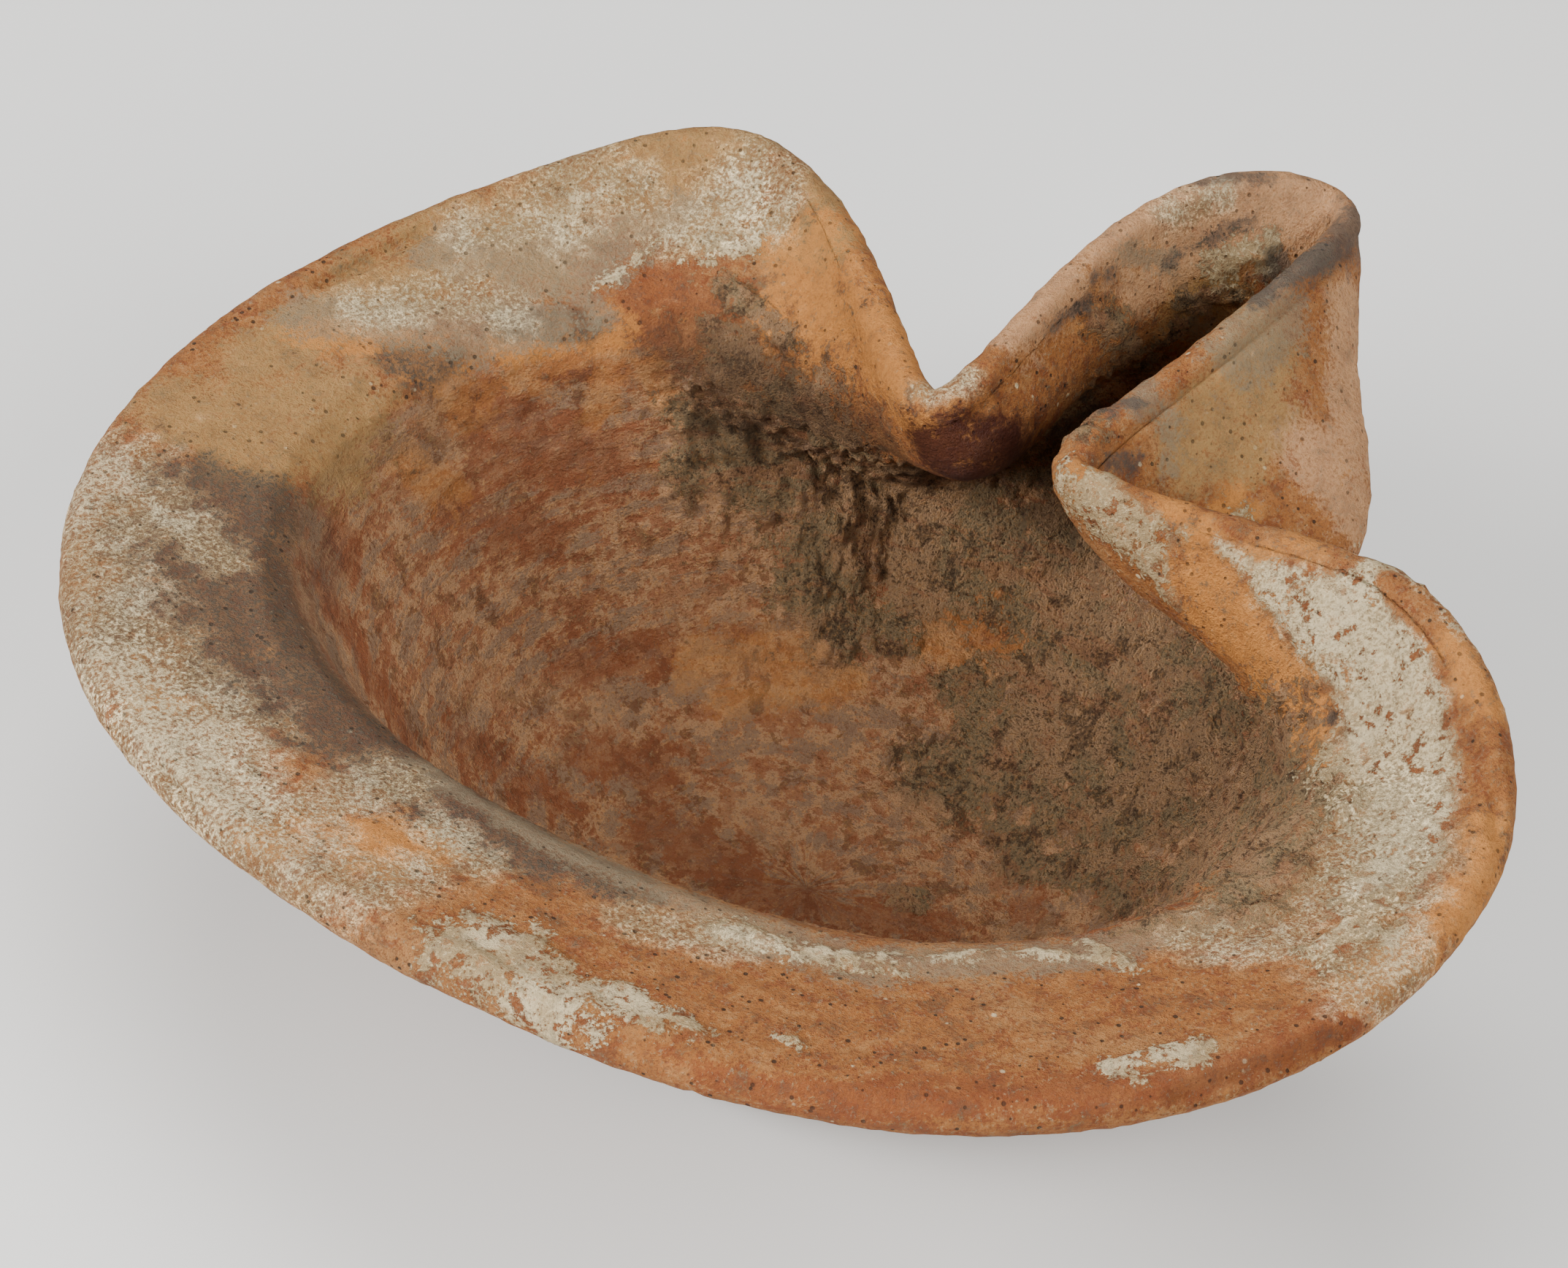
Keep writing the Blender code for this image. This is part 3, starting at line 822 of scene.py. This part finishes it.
# Small dots of uneven size; most cells have none.
def dots(tree, place, scale, size, share):
    found = cells(tree, place, scale)
    lot = put(tree, "ShaderNodeSeparateColor", {0: found.outputs["Color"]}).outputs
    wanted = spread(tree, lot[0], 1 - share, 1.0, 0.25 * size, size)
    has = maths(tree, "GREATER_THAN", lot[0], 1 - share)
    near = maths(tree, "SUBTRACT", found.outputs["Distance"], wanted)
    blur = 0.06
    return times(tree, has, spread(tree, near, blur, -blur))


# Each look: its first colour, the layers over it and the fields that make its height.
looks = {
    "clay": (
        "orange",
        (
            ("Broad", 0.48, 0.64, 0.60, "buff"),
            ("Mid", 0.52, 0.57, 0.65, "red"),
            ("Other", 0.54, 0.60, 0.40, "brown"),
            ("Other", 0.47, 0.40, 0.45, "buff"),
            # low Grain is low in height too: the brown there is the clay's own grain and painted
            # shade in its pits
            ("Grain", 0.47, 0.38, 0.80, "brown"),
            ("Grain", 0.55, 0.64, 0.40, "cream"),
            ("Fine", 0.44, 0.32, 0.65, "brown"),
            ("Specks", 0.0, 1.0, 0.80, "dark"),
            ("Grits", 0.0, 1.0, 0.70, "white"),
        ),
        (("Mid", 1.6), ("Grain", 2.2), ("Fine", 0.6), ("Specks", -0.9), ("Grits", 0.5)),
    ),
    "film": (
        "filmOrange",
        (
            ("Mid", 0.50, 0.52, 0.85, "filmRed"),
            ("Streaks", 0.52, 0.54, 0.85, "filmPurple"),
            ("Other", 0.56, 0.58, 0.70, "brown"),
            ("Streaks", 0.44, 0.42, 0.80, "filmRed"),
            ("Second", 0.54, 0.60, 0.30, "filmOrange"),
            # low Grain is low in height too: the brown there is the film's own grain and painted
            # shade in its pits
            ("Grain", 0.46, 0.36, 0.50, "brown"),
            ("Grain", 0.54, 0.62, 0.45, "bright"),
            ("Fine", 0.42, 0.30, 0.60, "brown"),
            ("Fine", 0.62, 0.74, 0.30, "cream"),
            ("Specks", 0.0, 1.0, 0.25, "dark"),
        ),
        (("Mid", -1.6), ("Streaks", 2.4), ("Grain", 2.6), ("Fine", 1.0)),
    ),
    "crust": (
        "cream",
        (
            ("Second", 0.48, 0.58, 0.85, "white"),
            ("Other", 0.56, 0.62, 0.40, "grey"),
            ("Mid", 0.45, 0.38, 0.60, "orange"),
            ("Streaks", 0.56, 0.62, 0.50, "cream"),
            # low Grain is low in height too: the grey there is the crust's own grain and painted
            # shade in its pits
            ("Grain", 0.46, 0.36, 0.60, "grey"),
            ("Grain", 0.53, 0.62, 0.60, "white"),
            ("Fine", 0.42, 0.30, 0.45, "brown"),
            ("Specks", 0.0, 1.0, 0.35, "brown"),
        ),
        (("Mid", 1.4), ("Grain", 2.6), ("Fine", 0.5), ("Specks", -1.0)),
    ),
    "soil": (
        "olive",
        (
            ("Second", 0.48, 0.53, 0.75, "soil"),
            ("Streaks", 0.54, 0.57, 0.60, "filmRed"),
            ("Mid", 0.56, 0.59, 0.65, "filmOrange"),
            ("Other", 0.53, 0.58, 0.65, "dark"),
            # low Grain is low in height too: the dark there is the soil's own crumbs and painted
            # shade in its pits
            ("Grain", 0.46, 0.38, 0.80, "dark"),
            ("Grain", 0.52, 0.60, 0.65, "buff"),
            ("Fine", 0.44, 0.32, 0.45, "dark"),
            ("Fine", 0.58, 0.70, 0.35, "cream"),
        ),
        (("Mid", 2.6), ("Other", 3.0), ("Grain", 5.0), ("Fine", 1.4)),
    ),
}


def makeLook(name):
    first, layers, heights = looks[name]
    colours = list(dict.fromkeys([first] + [layer[4] for layer in layers]))
    tree, given, result = lookGroup(name, colours)
    tree.links.new(layered(tree, given, first, layers), result["Colour"])
    tree.links.new(heightSum(tree, given, heights), result["Height"])
    return tree


def edgeGroup():
    value = "NodeSocketFloat"
    labels = ("Cover", "Coarse", "Fine", "Raggedness", "Softness", "Strength")
    tree, given, result = nodeGroup(
        "patch edge", "ShaderNodeTree", [(label, value, 0.5) for label in labels], [("Mask", value)]
    )
    given = given.outputs
    coarse = maths(tree, "SUBTRACT", given["Coarse"], 0.5)
    fineShare = 0.7
    fine = times(tree, maths(tree, "SUBTRACT", given["Fine"], 0.5), fineShare)
    ragged = times(tree, maths(tree, "ADD", coarse, fine), given["Raggedness"])
    moved = maths(tree, "ADD", given["Cover"], ragged)
    low = times(tree, given["Softness"], -1.0)
    mask = spread(tree, moved, low, given["Softness"])
    tree.links.new(times(tree, mask, given["Strength"]), result.inputs[0])
    return tree


# Each patch: the field that breaks its edge, raggedness, softness, strength and extra reach.
patchEdges = {
    "ochre": ("Other", 4.0, 0.60, 0.85, 0.5),
    "pink": ("Mid", 4.0, 0.60, 0.85, 0.6),
    "red": ("Streaks", -7.0, 0.40, 0.70, 0.3),
    "bright": ("Other", -6.0, 0.50, 0.85, 0.3),
    "stain": ("Other", 3.6, 0.80, 0.92, 0.8),
    "band": ("Mid", 4.5, 0.50, 0.75, 0.4),
    "lime": ("Mid", -6.0, 0.60, 0.80, 0.4),
    "soilEdge": ("Mid", 5.0, 0.08, 0.97, 0.0),
    "crustEdge": ("Other", 4.4, 0.16, 0.95, 0.0),
    "bare": ("Other", 4.0, 0.30, 0.97, 0.2),
    # the recess under the left fold: dark soil and painted shadow
    "darkSoilAndShadow": ("Mid", 3.0, 1.00, 0.65, 0.4),
    "white": ("Mid", 6.0, 0.80, 0.75, 0.2),
    "soot": ("Mid", 3.0, 0.50, 0.75, 0.1),
    "smoothed": ("Mid", 3.6, 0.80, 0.95, 0.4),
}


# Noise behind the looks: where it is read, scale per millimetre, detail, roughness and any
# distortion.
fieldNoise = {
    "Mid": ("mm", 0.50, 6.0, 0.72),
    "Other": ("aside", 0.33, 6.0, 0.72, 0.3),
    "Streaks": ("wheel", 0.42, 6.0, 0.72),
    "Grain": ("mm", 2.3, 4.0, 0.74),
    "Fine": ("aside", 4.6, 2.0, 0.6),
}

# Dots: where they are read, scale per millimetre, size and the share of cells that have one.
fieldDots = {
    "Specks": ("mm", 1.15, 0.24, 0.42),
    "Grits": ("aside", 0.55, 0.15, 0.30),
}

# How the looks lie over each other and take the light. Four values are the field's values
# where a change starts and is full, and what it changes from and to.
surface = {
    "asideShift": (31.0, 17.0, 5.0),  # millimetres
    "wheelTurn": 13.0,  # millimetres of streak for each radian round the wheel
    "filmEdge": (2.0, 0.25, 0.95),  # raggedness, softness, strength
    "ripple": (0.38, 0.60, 0.60, 1.0),
    "limeGrain": (0.40, 0.54, 0.25, 1.0),
    "limeFine": (0.32, 0.46, 0.35, 1.0),
    "limeRise": 0.5,
    "whiteGrain": (0.42, 0.54, 0.2, 1.0),
    "crustHoles": (0.60, 0.55),
    "speckShare": 0.6,
    "filmHold": 0.5,  # how much the film keeps off what lies over it
    "roughness": 0.93,
    "smoothedGloss": 0.35,
    "specular": 0.2,
    "bumpDistance": 0.0007,  # metres
}


def clayMaterial():
    made = bpy.data.materials.new("fired clay with crust")
    made.use_nodes = True
    tree = made.node_tree
    tree.nodes.clear()
    mm = inMillimetres(tree, put(tree, "ShaderNodeTexCoord").outputs["Object"])
    aside = put(tree, "ShaderNodeVectorMath", {0: mm, 1: surface["asideShift"]}).outputs[0]

    # places as on the wheel, so that streaks run round the bowl
    apart = put(tree, "ShaderNodeSeparateXYZ", {0: mm}).outputs
    reach = put(tree, "ShaderNodeVectorMath", {0: mm}, operation="LENGTH").outputs["Value"]
    turn = maths(tree, "ARCTAN2", apart[1], apart[0])
    turn = times(tree, turn, surface["wheelTurn"])
    wheel = put(tree, "ShaderNodeCombineXYZ", {0: reach, 1: apart[2], 2: turn}).outputs[0]

    def cover(name):
        return put(tree, "ShaderNodeAttribute", attribute_name=name).outputs["Fac"]

    spots = {"mm": mm, "aside": aside, "wheel": wheel}
    fields = {"Broad": cover("broad"), "Second": cover("second")}
    for name, (spot, *values) in fieldNoise.items():
        fields[name] = noise(tree, spots[spot], *values)
    for name, (spot, *values) in fieldDots.items():
        fields[name] = dots(tree, spots[spot], *values)
    looked = {}
    for name in looks:
        looked[name] = put(tree, "ShaderNodeGroup", fields, node_tree=makeLook(name)).outputs
    edges = edgeGroup()
    masks = {}

    def maskOf(covered, field, raggedness, softness, strength):
        inputs = {
            "Cover": covered,
            "Coarse": fields[field],
            "Fine": fields["Grain"],
            "Raggedness": raggedness,
            "Softness": softness,
            "Strength": strength,
        }
        return put(tree, "ShaderNodeGroup", inputs, node_tree=edges).outputs["Mask"]

    for name, (field, raggedness, softness, strength, reach) in patchEdges.items():
        covered = maths(tree, "ADD", cover(name), reach)
        masks[name] = maskOf(covered, field, raggedness, softness, strength)
    filmCover = timesPlus(tree, cover("film"), 2.0, -1.0)
    filmMask = maskOf(filmCover, "Mid", *surface["filmEdge"])

    colour = mixColour(tree, filmMask, looked["clay"]["Colour"], looked["film"]["Colour"])
    height = mixValue(tree, filmMask, looked["clay"]["Height"], looked["film"]["Height"])
    ripple = spread(tree, fields["Grain"], *surface["ripple"])
    inside = timesPlus(tree, filmMask, -surface["filmHold"], 1.0)
    for name in ("bright", "stain"):
        masks[name] = times(tree, masks[name], inside)
    for name in ("ochre", "pink", "red", "bright", "stain", "band"):
        share = times(tree, masks[name], ripple)
        colour = mixColour(tree, share, colour, finish[name])
    limeGrain = spread(tree, fields["Grain"], *surface["limeGrain"])
    limeFine = spread(tree, fields["Fine"], *surface["limeFine"])
    limeShare = times(tree, limeGrain, limeFine)
    limeShare = times(tree, masks["lime"], limeShare)
    colour = mixColour(tree, limeShare, colour, looked["crust"]["Colour"])
    specks = timesPlus(tree, filmMask, -surface["filmHold"], surface["speckShare"])
    specks = times(tree, fields["Specks"], specks)
    colour = mixColour(tree, specks, colour, finish["dark"])
    colour = mixColour(tree, masks["soilEdge"], colour, looked["soil"]["Colour"])
    height = mixValue(tree, masks["soilEdge"], height, looked["soil"]["Height"])
    unbroken = spread(tree, fields["Mid"], *surface["crustHoles"])
    left = times(tree, unbroken, maths(tree, "SUBTRACT", 1.0, masks["bare"]))
    crustMask = times(tree, masks["crustEdge"], left)
    colour = mixColour(tree, crustMask, colour, looked["crust"]["Colour"])
    height = mixValue(tree, crustMask, height, looked["crust"]["Height"])
    rise = maths(tree, "ADD", crustMask, times(tree, limeShare, surface["limeRise"]))
    height = maths(tree, "ADD", height, rise)
    whitened = spread(tree, fields["Grain"], *surface["whiteGrain"])
    whitened = times(tree, times(tree, masks["white"], whitened), left)
    colour = mixColour(tree, whitened, colour, finish["white"])
    # last come the dark soil with painted shadow under the left fold, the soot and the smoothed
    # patches
    for name in ("darkSoilAndShadow", "soot", "smoothed"):
        colour = mixColour(tree, masks[name], colour, finish[name])
    gloss = -surface["smoothedGloss"]
    rough = timesPlus(tree, masks["smoothed"], gloss, surface["roughness"])
    inputs = {"Strength": 1.0, "Distance": surface["bumpDistance"], "Height": height}
    bumped = put(tree, "ShaderNodeBump", inputs)
    inputs = {
        "Base Color": colour,
        "Roughness": rough,
        "Normal": bumped.outputs[0],
        "Specular IOR Level": surface["specular"],
    }
    shader = put(tree, "ShaderNodeBsdfPrincipled", inputs)
    output = put(tree, "ShaderNodeOutputMaterial")
    tree.links.new(shader.outputs[0], output.inputs[0])
    return made


mesh.shade_smooth()
body = addObject("lampSurface", mesh)
material = clayMaterial()
shaping = body.modifiers.new("clay relief", "NODES")
shaping.node_group = reliefTree()
for item in shaping.node_group.interface.items_tree:
    if item.item_type == "SOCKET" and item.in_out == "INPUT":
        if item.name in relief:
            shaping[item.identifier] = relief[item.name]
        elif item.name == "Material":
            shaping[item.identifier] = material
bpy.context.view_layer.update()
shaped = body.evaluated_get(bpy.context.evaluated_depsgraph_get())
finished = bpy.data.meshes.new_from_object(shaped)
body.modifiers.clear()
body.data = finished
finished.name = "lampSurface"
print("relief made", len(finished.polygons), "faces")

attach(body, "root")
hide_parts("lamp_body")

# Floor, soft studio light and the photo's point of view. Each light has a name, a place, a
# size and a power.
studio = {
    "floorColour": (0.62, 0.61, 0.59, 1.0),
    "floorRoughness": 0.9,
    "floorSize": 3.0,
    "worldColour": (0.86, 0.87, 0.88, 1.0),
    "worldStrength": 0.31,
    "lights": (
        ("keyLight", (-0.82, 0.36, 0.46), 0.45, 21.5),
        ("highLight", (0.05, 0.25, 0.95), 0.70, 8.0),
        ("fillLight", (-0.10, -0.82, 0.58), 0.80, 14.5),
    ),
    "azimuth": 39.5,
    "elevation": 40.0,
    "roll": 8.0,
    "distance": 0.520,
    "target": (-0.0025, 0.0050, 0.0340),
    "lens": 131.6,
}


def buildStudio():
    half = studio["floorSize"] / 2
    floorMesh = bpy.data.meshes.new("floor")
    corners = [(-half, -half, 0), (half, -half, 0), (half, half, 0), (-half, half, 0)]
    floorMesh.from_pydata(corners, [], [(0, 1, 2, 3)])
    floor = addObject("floor", floorMesh)
    paper = bpy.data.materials.new("pale floor")
    paper.use_nodes = True
    principled = paper.node_tree.nodes["Principled BSDF"]
    principled.inputs["Base Color"].default_value = studio["floorColour"]
    principled.inputs["Roughness"].default_value = studio["floorRoughness"]
    floorMesh.materials.append(paper)
    for name, place, size, power in studio["lights"]:
        light = bpy.data.lights.new(name, "AREA")
        light.shape = "DISK"
        light.size = size
        light.energy = power
        holder = addObject(name, light)
        holder.location = place
        holder.rotation_euler = (-Vector(place)).to_track_quat("-Z", "Y").to_euler()
    world = bpy.data.worlds.new("studio")
    world.use_nodes = True
    background = world.node_tree.nodes["Background"]
    background.inputs["Color"].default_value = studio["worldColour"]
    background.inputs["Strength"].default_value = studio["worldStrength"]
    bpy.context.scene.world = world


def buildCamera():
    turns = (math.radians(studio[key]) for key in ("azimuth", "elevation", "roll"))
    azimuth, elevation, roll = turns
    level = math.cos(elevation)
    forward = (math.cos(azimuth) * level, math.sin(azimuth) * level, -math.sin(elevation))
    forward = Vector(forward)
    right = Vector((math.sin(azimuth), -math.cos(azimuth), 0))
    up = (-forward).cross(right)
    across = math.cos(roll) * right + math.sin(roll) * up
    above = -math.sin(roll) * right + math.cos(roll) * up
    data = bpy.data.cameras.new("camera")
    data.sensor_width = 36.0
    data.lens = studio["lens"]
    camera = addObject("camera", data)
    place = Vector(studio["target"]) - forward * studio["distance"]
    turned = Matrix((across, above, -forward)).transposed().to_4x4()
    camera.matrix_world = Matrix.Translation(place) @ turned
    bpy.context.scene.camera = camera


buildStudio()
buildCamera()
print("studio ready")
